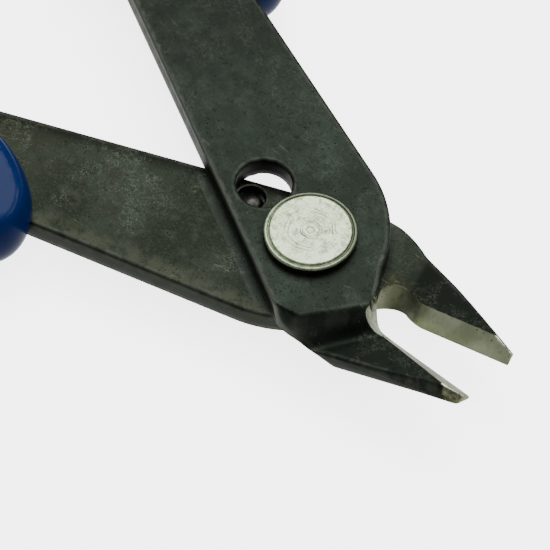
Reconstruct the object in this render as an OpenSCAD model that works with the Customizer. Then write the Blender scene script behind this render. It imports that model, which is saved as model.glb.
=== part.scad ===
// Flush cutter: two stamped steel levers crossed over one rivet, a hidden wire return spring and
// two dipped grips. The tool rests with its jaws open; closing it swings the upper lever.
// Origin: the centre of the rivet's lower end face. +Z runs up the rivet, +X points to the jaws
// along the line that halves the angle between the levers, +Y is the upper handle's side.

/* [Levers] */
// thickness of each stamped lever
plate_t = 2.2; // [1.6:0.1:3]
// sliding gap between the two levers
plate_gap = 0.05; // [0.03:0.01:0.1]
// how far each lever stands open from the middle line
open_half = 6.2; // [4:0.1:9]
// radius of the curve round the outside of the joint
head_r = 12; // [9:0.5:15]
// radius of the lower lever's shoulder between handle and jaw
shoulder_r = 8.6; // [6:0.2:12]
// radius of the upper lever's tighter shoulder
upper_shoulder_r = 2.6; // [2:0.2:8]

/* [Jaws] */
// distance from the rivet's axis to the jaw tips
jaw_reach = 21.6; // [18:0.1:26]
// slope of the flush face, rising towards the tips
jaw_slope = 16.5; // [10:0.5:22]
// thickness of a jaw, measured upwards
jaw_t = 1.65; // [1.2:0.05:2.2]
// angle of the ground bevel behind the cutting edge
bevel_angle = 48.7; // [40:0.1:60]
// lean of the ground outer face from upright
facet_lean = 23.6; // [10:0.2:35]
// radius of the relief behind the cutting edges
throat_r = 2.35; // [2:0.05:3]
// lean of the lower lever's relief from upright
throat_lean = 38.7; // [0:0.1:45]

/* [Rivet] */
// radius of the rivet's shank
shank_r = 2.5; // [2:0.05:3.2]
// radius of the flat on the rivet's head
rivet_flat_r = 3.67; // [3:0.05:4.2]
// full radius of the rivet's head
rivet_head_r = 4.22; // [3.8:0.02:4.4]
// height of each rivet head
rivet_head_h = 1.0; // [0.6:0.05:1.4]
// running clearance of the shank in the upper lever
pivot_clear = 0.05; // [0.02:0.01:0.08]

/* [Spring] */
// wire diameter of the return spring
wire_d = 1.1; // [0.8:0.05:1.4]
// bend radius of the coil
coil_r = 2.05; // [1.8:0.05:2.6]
// radius of the large spring hole in the upper lever
window_r = 2.5; // [2:0.05:2.6]
// radius of the spring's anchor hole in the lower lever
anchor_r = 1.3; // [0.9:0.05:1.4]

/* [Grips] */
// overall height of each grip
grip_h = 9.65; // [8:0.05:11]
// radius of the rounding along the grip's edges
grip_round = 4.2; // [3:0.1:4.6]
// distance from the rivet's axis to the end of the lower grip
grip_end = 105.4; // [95:0.2:115]
// how much farther back the upper grip sits
grip_back = 1.83; // [0:0.01:3]

/* [Hidden] */
$fn = 96;
eps = 0.01;
far = 160;
low_z0 = rivet_head_h;
low_z1 = low_z0 + plate_t;
up_z0 = low_z1 + plate_gap;
up_z1 = up_z0 + plate_t;
grip_z0 = (low_z0 + up_z1 - grip_h) / 2;
// closed-tool plan of one lever, jaw on the +Y side and handle on the -Y side
flush_x = 8.3;
tip_y = 1.3;
head_corner = [3.75, -7.68];
shoulder = [4.735, 7.604];
bow = [
    [-30, -14.7], [-45, -18.0], [-65, -20.2], [-84, -19.2], [-98, -16.4],
    [-99.6, -13.2], [-97, -11.8], [-84, -12.6], [-65, -13.2], [-45, -9.8]
];
band_dir = 26.6;
band_reach = 8.0;
band_slope = 67;
curl_dir = 39.8;
curl_reach = 6.99;
curl_slope = 49.8;
heel = [6.0, 7.2, low_z0 + plate_t];
low_throat = [9.5, throat_r * -0.68, throat_r];
up_throat = [9.9, throat_r * -0.98, throat_r];
up_grind = [10.3, -1.984, 1.53];
up_grind_lean = 31;
drop_clear_r = 7.75;
drop_reach = 7.9;
ease_reach = 8.0;
ease_slope = 12;
ridge_pt = [12.34, 4.76];
ridge_dir = -24.94;
window_pt = [-6.95, -0.55];
anchor_pt = [-7.55, 1.33];
// grip plan, as [x, y, radius]: its outer and inner sides, and the circles that shape its nose
grip_outer = [-64.4, 149.6, 173.6];
grip_inner = [-78.3, 149.4, 160];
grip_nose = [-31.64, -20.82, 13.41];
grip_cheek = [-38.0, -19.5, 14.6];
grip_corner = [-33.83, -11.18, 14.15];
grip_tail_r = 12.5;
grip_tail = [-grip_end + grip_tail_r + 0.4, -14.6];
// spring path: straight runs "L", bends "B" as radius and angle, rolls "R"
spring_start = [-7.6, 0.48, low_z1 - 0.3];
spring_heading = 339.9;
socket_pt = [-16.4, 5.66];
coil_roll = -14.7;
spring_path = [
    ["L", 1.8], ["B", 0.8, 90], ["L", 4.5], ["B", 2, 8], ["R", 82],
    ["B", coil_r, 90], ["R", coil_roll], ["B", coil_r, 90], ["R", coil_roll],
    ["B", coil_r, 90], ["R", coil_roll], ["B", coil_r, 90], ["R", coil_roll],
    ["B", coil_r, 20], ["R", -82], ["B", 2, -8.5], ["L", 3], ["B", 0.8, 90], ["L", 1.2]
];

// ---- plan helpers ----

function unit(v) = v / norm(v);
function turn(a, b) = a[0] * b[1] - a[1] * b[0];

// rounds corner b of the path a-b-c with a true arc: the sliver to take off or fill in, which
// laps a little over both sides
module corner_sliver(a, b, c, r) {
    lap = 0.02;
    u = unit(a - b);
    v = unit(c - b);
    half = acos(u * v) / 2;
    run = r / tan(half);
    mid = b + unit(u + v) * (r / sin(half));
    difference() {
        polygon([
            b - unit(u + v) * lap / sin(half),
            b + u * run - unit(v - u * (u * v)) * lap,
            b + v * run - unit(u - v * (u * v)) * lap
        ]);
        translate(mid) circle(r = r);
    }
}

// polygon whose corners carry the radii in rs; 0 leaves a corner sharp
module rounded_polygon(pts, rs) {
    n = len(pts);
    difference() {
        union() {
            polygon(pts);
            for (i = [0 : n - 1])
                if (rs[i] > 0 && turn(pts[i] - pts[(i + n - 1) % n], pts[(i + 1) % n] - pts[i]) < 0)
                    corner_sliver(pts[(i + n - 1) % n], pts[i], pts[(i + 1) % n], rs[i]);
        }
        for (i = [0 : n - 1])
            if (rs[i] > 0 && turn(pts[i] - pts[(i + n - 1) % n], pts[(i + 1) % n] - pts[i]) > 0)
                corner_sliver(pts[(i + n - 1) % n], pts[i], pts[(i + 1) % n], rs[i]);
    }
}

// outline of one lever with its jaw, tool closed: its shoulder's radius and its throat's circle
module lever_plan(corner_r, throat) {
    difference() {
        rounded_polygon(
            [
                bow[0], head_corner, [7.4, -1.0], [9.5, -1.0], [9.5, 0],
                [jaw_reach + 2, 0], [jaw_reach + 2, tip_y - 0.8], shoulder, [-31, -4.9],
                bow[9], bow[8], bow[7], bow[6], bow[5], bow[4], bow[3], bow[2], bow[1]
            ],
            [0, head_r, 0, 0, 0, 0, 0, corner_r, 0, 0, 0, 0, 0, 0, 0, 0, 0, 0]
        );
        translate([throat[0], throat[1]]) circle(r = throat[2]);
    }
}

// ---- cutting planes of the jaw, as large blocks ----

// block above the plane through x = at, z = z0 that falls away at slope along direction dir
module above_plane(dir, at, z0, slope) {
    rotate([0, 0, dir]) translate([at, 0, z0]) rotate([0, slope, 0])
        translate([-far, -far, 0]) cube([2 * far, 2 * far, far]);
}

module below_flush_face() {
    translate([flush_x, 0, low_z0]) rotate([0, -jaw_slope, 0])
        translate([-far, -far, -far]) cube([2 * far, 2 * far, far]);
}

module above_jaw() {
    above_plane(0, flush_x, low_z0 + jaw_t, -jaw_slope);
}

// bevel ground behind the cutting edge
module edge_bevel() {
    translate([9.5, 0, low_z0 + (9.5 - flush_x) * tan(jaw_slope)]) rotate([0, -jaw_slope, 0])
        rotate([bevel_angle - 90, 0, 0]) translate([0, -12, 0]) cube([20, 12, 12]);
}

// round end of the bevel's grinding, leaning back from the throat
module throat_grind() {
    translate([9.5, 0, low_z0 + (9.5 - flush_x) * tan(jaw_slope)]) rotate([0, -jaw_slope, 0])
        translate([0, throat_r * -0.88, 0]) rotate([-throat_lean, 0, 0]) translate([0, 0, -3])
            cylinder(r = throat_r - 0.15, h = 12);
}

// leaning outer face, ground along the ridge
module outer_facet() {
    pitch = atan(tan(jaw_slope) * cos(ridge_dir));
    translate([ridge_pt[0], ridge_pt[1], low_z0 + jaw_t + (ridge_pt[0] - flush_x) * tan(jaw_slope)])
        rotate([0, 0, ridge_dir]) rotate([0, -pitch, 0]) rotate([facet_lean, 0, 0])
            translate([-30, 0, -20]) cube([60, 20, 40]);
}

// the same on the upper lever, where it runs up the turned-down band
module upper_throat_grind() {
    translate([up_grind[0], up_grind[1], low_z0]) rotate([-up_grind_lean, 0, 0])
        translate([0, 0, -3]) cylinder(r = up_grind[2], h = 14);
}

module blunt_tip() {
    translate([jaw_reach, 0, -5]) rotate([0, 0, 14]) translate([0, -8, 0]) cube([10, 20, 30]);
}

module jaw_grinding() {
    edge_bevel();
    outer_facet();
    blunt_tip();
    below_flush_face();
}

// ---- levers, tool closed, jaw on +Y ----

module lower_lever_closed() {
    difference() {
        translate([0, 0, low_z0]) linear_extrude(height = 8) lever_plan(shoulder_r, low_throat);
        jaw_grinding();
        throat_grind();
        intersection() {
            above_jaw();
            union() {
                translate([-2 * far, -far, low_z1]) cube([4 * far, 2 * far, far]);
                above_plane(band_dir + 6, ease_reach, low_z1, ease_slope);
            }
        }
        translate([0, 0, -eps]) cylinder(r = shank_r, h = 20);
        translate([anchor_pt[0], anchor_pt[1], 0]) cylinder(r = anchor_r, h = 20);
    }
}

module drop_zone() {
    rotate([0, 0, band_dir]) translate([drop_reach, -far, -far]) cube([far, 2 * far, 2 * far]);
}

// takes the outer corner off the underside, where the plate turns down
module heel_chamfer() {
    translate(heel) rotate([0, 0, -22.8]) rotate([0, 23.6, 0]) rotate([50, 0, 0])
        translate([-30, -30, -20]) cube([60, 60, 20]);
}

module upper_lever_closed() {
    difference() {
        translate([0, 0, low_z0]) linear_extrude(height = 8)
            lever_plan(upper_shoulder_r, up_throat);
        jaw_grinding();
        intersection() {
            above_jaw();
            union() {
                translate([-2 * far, -far, up_z1]) cube([4 * far, 2 * far, far]);
                intersection() {
                    above_plane(band_dir, band_reach, up_z1, band_slope);
                    above_plane(curl_dir, curl_reach, up_z1, curl_slope);
                }
            }
        }
        upper_throat_grind();
        heel_chamfer();
        // room for the lower lever under the plate
        difference() {
            translate([-2 * far, -far, -far]) cube([4 * far, 2 * far, far + up_z0]);
            difference() {
                drop_zone();
                translate([0, 0, -far]) cylinder(r = drop_clear_r, h = far + up_z0);
            }
        }
        translate([0, 0, -eps]) cylinder(r = shank_r + pivot_clear, h = 20);
        translate([window_pt[0], window_pt[1], 0]) cylinder(r = window_r, h = 20);
    }
}

// blind socket for the spring's upper end, on the hidden underside
module spring_socket() {
    translate([socket_pt[0], socket_pt[1], up_z0 - eps]) cylinder(r = wire_d / 2 + 0.1, h = 1.5);
}

module lower_lever() {
    color([0.24, 0.27, 0.24]) rotate([0, 0, open_half]) lower_lever_closed();
}

module upper_lever() {
    color([0.22, 0.26, 0.24]) difference() {
        rotate([0, 0, -open_half]) mirror([0, 1, 0]) upper_lever_closed();
        spring_socket();
    }
}

// ---- rivet ----

module rivet() {
    rim = 0.3;
    top = up_z1 + 0.03;
    color([0.82, 0.84, 0.8]) rotate_extrude() polygon([
        [0, low_z0 - rivet_head_h],
        [rivet_head_r - 0.9, low_z0 - rivet_head_h],
        [rivet_head_r - 0.2, low_z0 - rivet_head_h * 0.6],
        [rivet_head_r, low_z0],
        [shank_r, low_z0],
        [shank_r, top],
        [rivet_head_r, top],
        [rivet_head_r, top + rim],
        [rivet_head_r - 0.1, top + rivet_head_h * 0.62],
        [rivet_flat_r, top + rivet_head_h],
        [1.1, top + rivet_head_h],
        [0.5, top + rivet_head_h - 0.06],
        [0, top + rivet_head_h - 0.08]
    ]);
}

// ---- spring ----

module wire_run(len) {
    cylinder(r = wire_d / 2, h = len, $fn = 32);
}

module wire_bend(r, a) {
    translate([r, 0, 0]) rotate([90, 0, 180]) rotate_extrude(angle = a, $fn = 48)
        translate([r, 0]) circle(r = wire_d / 2, $fn = 32);
}

module wire_back_bend(r, a) {
    rotate([0, 0, 180]) wire_bend(r, a);
}

// follows the path from step i on; each step starts where the last one ended
module wire_path(path, i) {
    if (i < len(path)) {
        s = path[i];
        if (s[0] == "L") {
            wire_run(s[1]);
            translate([0, 0, s[1]]) wire_path(path, i + 1);
        }
        if (s[0] == "R")
            rotate([0, 0, s[1]]) wire_path(path, i + 1);
        if (s[0] == "B" && s[2] > 0) {
            wire_bend(s[1], s[2]);
            translate([s[1] * (1 - cos(s[2])), 0, s[1] * sin(s[2])]) rotate([0, s[2], 0])
                wire_path(path, i + 1);
        }
        if (s[0] == "B" && s[2] < 0) {
            wire_back_bend(s[1], -s[2]);
            translate([s[1] * (cos(s[2]) - 1), 0, -s[1] * sin(s[2])]) rotate([0, s[2], 0])
                wire_path(path, i + 1);
        }
    }
}

module spring() {
    color([0.3, 0.31, 0.3]) translate(spring_start)
        rotate([0, 0, spring_heading]) rotate([0, 180, 0]) wire_path(spring_path, 0);
}

// ---- grips, tool closed, handle on -Y ----

// disc with a half-round rim, as tall as the grip
module pill(x, y, r) {
    translate([x, y, 0]) rotate_extrude($fn = 180) {
        square([r - grip_round, grip_h]);
        translate([0, grip_round]) square([r, grip_h - 2 * grip_round]);
        translate([r - grip_round, grip_round]) circle(r = grip_round);
        translate([r - grip_round, grip_h - grip_round]) circle(r = grip_round);
    }
}

// concave mate of the pill: what the grip's inner side is hollowed by
module hollow(x, y, r) {
    translate([x, y, 0]) rotate_extrude($fn = 180) difference() {
        translate([0, -1]) square([r + grip_round, grip_h + 2]);
        translate([r + grip_round, grip_round]) circle(r = grip_round);
        translate([r + grip_round, grip_h - grip_round]) circle(r = grip_round);
        translate([r, grip_round]) square([grip_round + 1, grip_h - 2 * grip_round]);
    }
}

module grip_closed() {
    intersection() {
        pill(grip_outer[0], grip_outer[1], grip_outer[2]);
        union() {
            pill(grip_nose[0], grip_nose[1], grip_nose[2]);
            pill(grip_cheek[0], grip_cheek[1], grip_cheek[2]);
            pill(grip_tail[0], grip_tail[1], grip_tail_r);
            translate([grip_tail[0], -60, -1]) cube([grip_cheek[0] - grip_tail[0], 120, grip_h + 2]);
        }
        union() {
            pill(grip_corner[0], grip_corner[1], grip_corner[2]);
            translate([-120, -60, -1]) cube([120 + grip_corner[0], 120, grip_h + 2]);
        }
        difference() {
            translate([-120, -60, -1]) cube([110, 60, grip_h + 2]);
            hollow(grip_inner[0], grip_inner[1], grip_inner[2]);
        }
    }
}

module tang(z0) {
    translate([0, 0, z0]) linear_extrude(height = plate_t) lever_plan(shoulder_r, low_throat);
}

module lower_grip() {
    color([0.02, 0.12, 0.36]) rotate([0, 0, open_half]) difference() {
        translate([0, 0, grip_z0]) grip_closed();
        tang(low_z0);
    }
}

module upper_grip() {
    color([0.02, 0.12, 0.36]) rotate([0, 0, -open_half]) mirror([0, 1, 0]) difference() {
        translate([-grip_back, 0, grip_z0]) grip_closed();
        tang(up_z0);
    }
}

lower_lever();
upper_lever();
rivet();
spring();
lower_grip();
upper_grip();
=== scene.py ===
from math import acos, asin, atan, atan2, cos, degrees, exp, pi, radians, sin, tan

import bpy
import numpy as np
from mathutils import Matrix, Vector
from mathutils.geometry import delaunay_2d_cdt


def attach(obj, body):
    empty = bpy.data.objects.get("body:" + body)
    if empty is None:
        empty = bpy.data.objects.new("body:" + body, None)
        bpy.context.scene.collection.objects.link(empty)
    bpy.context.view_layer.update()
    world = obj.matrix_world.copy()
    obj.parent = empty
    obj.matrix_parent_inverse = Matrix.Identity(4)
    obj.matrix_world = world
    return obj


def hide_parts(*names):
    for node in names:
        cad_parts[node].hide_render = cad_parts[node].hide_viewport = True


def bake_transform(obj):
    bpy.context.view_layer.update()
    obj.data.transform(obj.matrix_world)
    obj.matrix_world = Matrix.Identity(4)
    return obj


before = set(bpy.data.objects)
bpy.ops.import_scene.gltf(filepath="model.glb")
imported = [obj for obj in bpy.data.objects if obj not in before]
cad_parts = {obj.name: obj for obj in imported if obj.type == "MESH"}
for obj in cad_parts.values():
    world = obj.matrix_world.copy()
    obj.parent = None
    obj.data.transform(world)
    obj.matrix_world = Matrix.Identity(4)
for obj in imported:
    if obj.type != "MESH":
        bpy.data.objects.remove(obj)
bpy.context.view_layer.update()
scene = bpy.context.scene
MM = 0.001

# ---------------- camera

DIST, TILT, ROLL, HEADING = 0.600, radians(34.07), radians(2.3), radians(41.52)
# lens and aim, for a picture 550 wide
WIDTH, SENSOR, FOCAL, CENTRE, PIVOT = 550, 36, 6810.0, 275.0, (310.38, 236.24)
PLATE_Z = 5.45 * MM

fwd = Vector((0, sin(TILT), -cos(TILT)))
right = Vector((1, 0, 0))
down = fwd.cross(right)
right, down = (right * cos(ROLL) - down * sin(ROLL),
               right * sin(ROLL) + down * cos(ROLL))
turn = Matrix.Rotation(HEADING, 3, "Z")
right, down, fwd = turn @ right, turn @ down, turn @ fwd
aim = right * ((PIVOT[0] - CENTRE) / FOCAL * DIST) + down * ((PIVOT[1] - CENTRE) / FOCAL * DIST)
eye = Vector((0, 0, PLATE_Z)) - (aim + fwd * DIST)
cam_data = bpy.data.cameras.new("camera")
cam = bpy.data.objects.new("camera", cam_data)
scene.collection.objects.link(cam)
cam.matrix_world = Matrix((
    (right.x, -down.x, -fwd.x, eye.x),
    (right.y, -down.y, -fwd.y, eye.y),
    (right.z, -down.z, -fwd.z, eye.z),
    (0, 0, 0, 1)))
cam_data.sensor_width = SENSOR
cam_data.lens = FOCAL / WIDTH * SENSOR
cam_data.clip_start, cam_data.clip_end = 0.01, 50
scene.camera = cam

# ---------------- sizes


def heading(deg):
    """Unit direction in the plan."""
    return cos(radians(deg)), sin(radians(deg))


# Millimetres. Each lever is drawn closed, with its jaw on +Y, and turned to its place at rest last.
BASE = 1.0  # the lower lever's underside, above the rivet's foot; the lever's heights start there
T, GAP = 2.2, 0.05
UP0, UP1 = T + GAP, 2 * T + GAP
OPEN = radians(6.2)
# flush face: where it starts, its slope, and the jaw's thickness there
FLUSH_X, SLOPE_DEG, JAW_T = 8.3, 16.5, 1.65
SLOPE, SLANT = tan(radians(SLOPE_DEG)), heading(SLOPE_DEG)[0]
# the jaw's tip is cut across at an angle
REACH, TIP_DEG = 21.6, 14
TIP_AT = REACH * heading(TIP_DEG)[0]
# corners of the plan, and the way the edges beside them face
HEAD, SHOULDER, HANDLE, JAW_ROOT = (3.75, -7.68), (4.735, 7.604), (-31, -4.9), (7.4, -1.0)
HEAD_DEG, SHOULDER_DEG = -78.25, 109.3
BOW = [(-30, -14.7), (-45, -18.0), (-65, -20.2), (-84, -19.2), (-98, -16.4),
       (-99.6, -13.2), (-97, -11.8), (-84, -12.6), (-65, -13.2), (-45, -9.8)]
# round cuts as x, y, radius
LOW_THROAT, UP_THROAT, UP_GRIND = (9.5, -1.6, 2.35), (9.9, -2.303, 2.35), (10.3, -1.984, 1.53)
WINDOW, ANCHOR = (-6.95, -0.55, 2.5), (-7.55, 1.33, 1.3)
UP_LEAN = radians(31)
# lower throat's grinding: its middle and half width, where it starts, how deep it sags, how it leans
GRIND_X, GRIND_HALF, GRIND_Y, GRIND_SAG, GRIND_LEAN = 9.5, 2.2, -2.068, 2.82, 0.801
GRIND_TURN, GRIND_RISE = 0.96, 0.959
# outer facet of the jaw: a point and the direction of its ridge, and its lean
RIDGE_PT, RIDGE_DIR, FACET_LEAN = (12.34, 4.76), radians(-24.94), radians(23.6)
# bevel along the cutting edge: its start and rise, and the extra rise and its length on the upper lever
BEVEL_X, BEVEL_RISE, BEVEL_EXTRA, BEVEL_RUN = 9.5, 1.138, 0.35, 9.0
# the upper lever's bevel fades out before it reaches the throat
FADE_X, FADE_W = 10.7, 1.2
# how far the upper lever's tip is polished, and how bright
POLISH_L, POLISH = 2.7, 0.53
# folds: how steep, the way they fall in the plan, and how far from the rivet they start
CREASE_DEG, CREASE_AT = 26.6, 8.0
UP_FOLDS, LOW_FOLD = ((67, CREASE_DEG, CREASE_AT), (49.8, 39.8, 6.99)), (12, 32.6, 8.0)
# slanting underside of the upper lever's shoulder
HEEL_PT, HEEL_TURNS, HEEL_TOP = (6.0, 7.2), ((-22.8, "Z"), (23.6, "Y"), (50, "X")), 3.4
# the upper lever's underside steps down beyond this distance and radius, over this width
STEP_AT, STEP_R, STEP_W, HEEL_AT = 7.9, 7.75, 0.3, 7.0
# width of the rims' rounding, and how far in, as a share of it, its last ring of points lies
RIM_W, LAST_RING = 0.48, 1.5
# a height, and a distance from a rim, that never count
FAR, OFF_RIM = 99.0, 9.0


def wiped_line():
    """The upper lever's near edge as it crosses the lower lever's plan at rest: a point and its normal."""
    a, b = (Matrix.Rotation(-2 * OPEN, 2) @ Vector((x, -y)) for x, y in (HANDLE, SHOULDER))
    return tuple(a), degrees(atan2((b - a).y, (b - a).x)) + 90


WIPED_PT, WIPED_DEG = wiped_line()


# ---------------- materials


class Nodes:
    """Short-hand for building one procedural material; scales are in cells per millimetre."""

    def __init__(self, name):
        self.mat = bpy.data.materials.new(name)
        self.mat.use_nodes = True
        self.tree = self.mat.node_tree
        self.shader = self.tree.nodes["Principled BSDF"]
        self.pos = self.add("TexCoord").outputs["Object"]
        self.per_mm = 1000.0

    def use_plan(self):
        """Marks follow the stamped plan, which is kept in millimetres."""
        self.pos, self.per_mm = self.add("Attribute", attribute_name="plan").outputs["Vector"], 1.0

    def add(self, kind, **inputs):
        """A node; names with a capital are its sockets and the others its settings."""
        n = self.tree.nodes.new("ShaderNode" + kind)
        for k, v in inputs.items():
            if k[0].isupper():
                self.plug(n.inputs[k.replace("_", " ")], v)
            else:
                setattr(n, k, v)
        return n

    def plug(self, socket, value):
        if hasattr(value, "links"):
            self.tree.links.new(value, socket)
        else:
            socket.default_value = value

    def xyz(self):
        return self.add("SeparateXYZ", Vector=self.pos).outputs

    def grain(self, scale, detail, rough, lo, hi, out0=0.0, out1=1.0, warp=0.0):
        """Noise cut to a patchy mask."""
        return self.band(self.noise(scale, detail, rough, warp=warp), lo, hi, out0, out1)

    def attribute(self, name):
        return self.add("Attribute", attribute_name=name).outputs["Fac"]

    def noise(self, scale, detail=4.0, rough=0.55, at=None, warp=0.0):
        n = self.add("TexNoise", Scale=scale * self.per_mm, Detail=detail, Roughness=rough, Distortion=warp,
                     Vector=at or self.pos)
        return n.outputs["Fac"]

    def streaks(self, scale, detail, rough, rot, stretch, shift=0.0, warp=0.0):
        """Noise turned and stretched, for marks that run one way."""
        m = self.add("Mapping", Rotation=rot, Scale=stretch, Location=(shift, shift, 0), Vector=self.pos)
        return self.noise(scale, detail, rough, m.outputs["Vector"], warp)

    def dots(self, scale, edge, core, where):
        """Round spots that fade from core to edge, kept where the mask says."""
        cells = self.add("TexVoronoi", Scale=scale * self.per_mm, Vector=self.pos).outputs["Distance"]
        return self.times(self.band(cells, edge, core), where)

    def math(self, op, a, b=0.0, c=0.0):
        n = self.add("Math", operation=op)
        for s, v in zip(n.inputs, (a, b, c)):
            self.plug(s, v)
        return n.outputs[0]

    def times(self, a, b):
        return self.math("MULTIPLY", a, b)

    def band(self, x, lo, hi, out0=0.0, out1=1.0):
        """Eases from out0 to out1 as x goes from lo to hi."""
        n = self.add("MapRange", interpolation_type="SMOOTHSTEP", clamp=True)
        for s, v in zip(n.inputs, (x, lo, hi, out0, out1)):
            self.plug(s, v)
        return n.outputs[0]

    def mix(self, fac, a, b):
        n = self.add("Mix", data_type="RGBA")
        self.plug(n.inputs[0], fac)
        for s, v in zip((n.inputs[6], n.inputs[7]), (a, b)):
            self.plug(s, v if hasattr(v, "links") else (*v, 1))
        return n.outputs[2]

    def coat(self, under, mask, amount, colour):
        """Lays a colour over what is there, as far as the mask and the amount say."""
        return self.mix(self.times(mask, amount), under, colour)

    def radius(self, xyz, centre=(0.0, 0.0)):
        """Distance in the plan from a centre."""
        squares = [self.math("POWER", self.math("ADD", v, -c), 2.0) for v, c in zip(xyz, centre)]
        return self.math("SQRT", self.math("ADD", *squares))

    def side(self, xyz, deg, x0, y0):
        """Signed distance in the plan from the line through (x0, y0) whose normal points along deg."""
        c, s = heading(deg)
        across = self.math("MULTIPLY_ADD", xyz[1], s, self.times(xyz[0], c))
        return self.math("ADD", across, -(x0 * c + y0 * s))

    def bump(self, height, distance, strength=1.0, normal=None):
        n = self.add("Bump", Strength=strength, Distance=distance * MM, Height=height)
        if normal:
            self.plug(n.inputs["Normal"], normal)
        return n.outputs["Normal"]

    def done(self, **inputs):
        for k, v in inputs.items():
            self.plug(self.shader.inputs[k.replace("_", " ")], v)
        return self.mat


# oxided steel: dark, light, haze and stain
UPPER_OXIDE = ((0.0100, 0.0132, 0.0100), (0.0140, 0.0185, 0.0143), (0.0200, 0.0260, 0.0205),
               (0.0130, 0.0160, 0.0110))
LOWER_OXIDE = ((0.0085, 0.0110, 0.0075), (0.0150, 0.0190, 0.0140), (0.0330, 0.0385, 0.0300),
               (0.0140, 0.0140, 0.0085))
PALE_GRAIN, BLACK_PATCH = (0.038, 0.046, 0.035), (0.004, 0.005, 0.004)
# the lower lever's marks
GRIMY, WIPED, DARK_FAR_EDGE = (0.0150, 0.0152, 0.0090), (0.027, 0.034, 0.028), (0.0035, 0.0040, 0.0026)
THROAT_STAIN, RUBBED_EDGE = (0.022, 0.022, 0.010), (0.042, 0.046, 0.032)
# the upper lever's marks, and a painted highlight along its crease
HANDLED, CREASE_HIGHLIGHT = (0.0105, 0.0130, 0.0100), (0.045, 0.052, 0.040)
# painted shade in the window's wall and rolled rim
WINDOW_SHADE = (0.0016, 0.0018, 0.0015)
# both: painted shade on the jaw and its outer facet, then pits, scratches, specks, walls and rims
JAW_SHADE, FACET_SHADE, PIT = (0.0070, 0.0092, 0.0067), (0.0026, 0.0031, 0.0021), (0.0015, 0.002, 0.0015)
SCRATCH, TANGLE, SPECK = (0.11, 0.12, 0.09), (0.075, 0.085, 0.066), (0.16, 0.17, 0.11)
# walls, then rims lightened partly for wear and partly as painted highlight
TORN_WALL, WORN_RIM_AND_HIGHLIGHT, SHOULDER_RIM_HIGHLIGHT = (0.032, 0.036, 0.026), (0.060, 0.070, 0.055), (0.16, 0.18, 0.145)
# ground faces
BARE_DARK, BARE_LIGHT, BARE_STROKE = (0.28, 0.305, 0.20), (0.47, 0.505, 0.37), (0.24, 0.25, 0.16)
BARE_STAIN, BARE_HOLE, GROUND_EDGE = (0.21, 0.22, 0.12), (0.025, 0.026, 0.014), (0.055, 0.05, 0.018)
# painted shade towards the lower throat, then a patchy darker tone for the upper lever
THROAT_SHADE, DULL_UPPER = (0.14, 0.15, 0.09), (0.10, 0.115, 0.072)


def oxide(k, upper, mid):
    """Mottled black coat."""
    dark, light, haze, stain = UPPER_OXIDE if upper else LOWER_OXIDE
    base = k.mix(k.grain(0.13, 4.0, 0.55, 0.35, 0.65), dark, light)
    base = k.mix(k.band(mid, 0.45, 0.75, 0.0, 0.38 if upper else 0.65), base, haze)
    base = k.mix(k.grain(5.0, 4.0, 0.7, 0.5, 0.8, 0.0, 0.4 if upper else 0.75), base, PALE_GRAIN)
    base = k.mix(k.grain(0.45, 4.0, 0.6, 0.52, 0.68, 0.0, 0.45, warp=0.6), base, stain)
    return k.mix(k.grain(1.9, 4.0, 0.65, 0.56, 0.70, 0.0, 0.55), base, BLACK_PATCH)


def lower_marks(k, xyz, base, mid):
    # dull brown towards the grip, and a strip that the other lever wipes clean
    grimy = k.times(k.band(xyz[0], -20.0, -32.0), k.band(mid, 0.3, 0.7, 0.25, 0.85))
    base = k.mix(grimy, base, GRIMY)
    wiped = k.side(xyz, WIPED_DEG, *WIPED_PT)
    base = k.coat(base, k.times(k.band(wiped, -1.15, -0.85), k.band(wiped, 0.3, 0.0)), 0.6, WIPED)
    # darker along the far edge, stained round the throat, rubbed along the near edge
    far_edge = k.times(k.band(k.side(xyz, SHOULDER_DEG, *SHOULDER), -1.9, -0.2), k.band(xyz[0], 4.0, 0.0))
    base = k.coat(base, far_edge, 0.8, DARK_FAR_EDGE)
    stained = k.band(k.radius(xyz, LOW_THROAT[:2]), 5.3, 4.3)
    stained = k.times(stained, k.grain(1.2, 4.0, 0.65, 0.38, 0.6))
    base = k.coat(base, stained, 0.7, THROAT_STAIN)
    near_edge = k.times(k.band(k.side(xyz, HEAD_DEG, *HEAD), -2.4, -0.7), k.band(mid, 0.35, 0.6))
    return k.coat(base, near_edge, 0.45, RUBBED_EDGE)


def upper_marks(k, xyz, base):
    base = k.coat(base, k.band(xyz[0], -12.0, -26.0), 0.75, HANDLED)
    # painted highlight: lighter streaks along the crease where the plate turns down
    crease = k.side(xyz, CREASE_DEG, *(CREASE_AT * v for v in heading(CREASE_DEG)))
    turned = k.times(k.band(crease, -0.5, 0.1), k.band(crease, 1.3, 0.5))
    turned = k.times(turned, k.grain(0.7, 4.0, 0.6, 0.35, 0.65, 0.25, 1.0))
    return k.coat(base, turned, 0.6, CREASE_HIGHLIGHT)


def scratches(k):
    """Hair-fine scratches in three directions."""
    marks = None
    for rot, shift in ((0.5, 0.0), (-0.9, 7.0), (1.35, 3.0)):
        line = k.streaks(1.5, 2.0, 0.5, (0, 0, rot), (0.16, 2.8, 1.0), shift, warp=0.25)
        line = k.times(k.band(line, 0.67, 0.73), k.grain(0.5, 2.0, 0.5, 0.56, 0.66, warp=0.3))
        marks = line if marks is None else k.math("MAXIMUM", marks, line)
    return marks


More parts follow.
